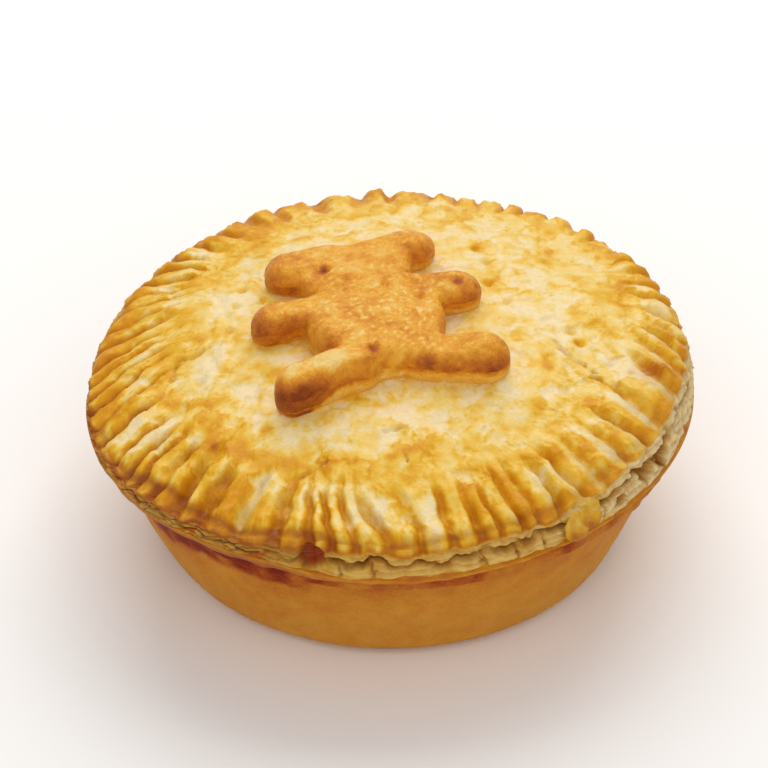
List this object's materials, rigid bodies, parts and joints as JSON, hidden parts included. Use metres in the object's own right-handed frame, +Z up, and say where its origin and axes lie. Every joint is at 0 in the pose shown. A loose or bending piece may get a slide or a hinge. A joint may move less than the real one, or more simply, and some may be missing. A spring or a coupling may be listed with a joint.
{
  "type": "chicken and cheese pie",
  "caption": "Small round savoury pie with a smooth tapered pastry case, a domed puff-pastry lid crimped with fork marks round its flaky edge, and a pastry bear baked on top",
  "frame": {"origin": "middle of the flat foot of the case, on the table", "axes": "+Z up, +Y towards the bear's head, +X to the right of the picture's view, which looks along +Y from above"},
  "size_m": [0.1093, 0.1108, 0.0495],
  "materials": {
    "case_crust": "smooth baked shortcrust, ochre, browned at the rim",
    "lid_crust": "egg-washed puff pastry, cream to golden, satin, pale flaky edge",
    "bear_crust": "egg-washed pastry, orange brown with dark ends, satin"
  },
  "bodies": {
    "root": {"case": "case_crust", "lid": "lid_crust", "bear": "bear_crust"}
  },
  "joints": []
}
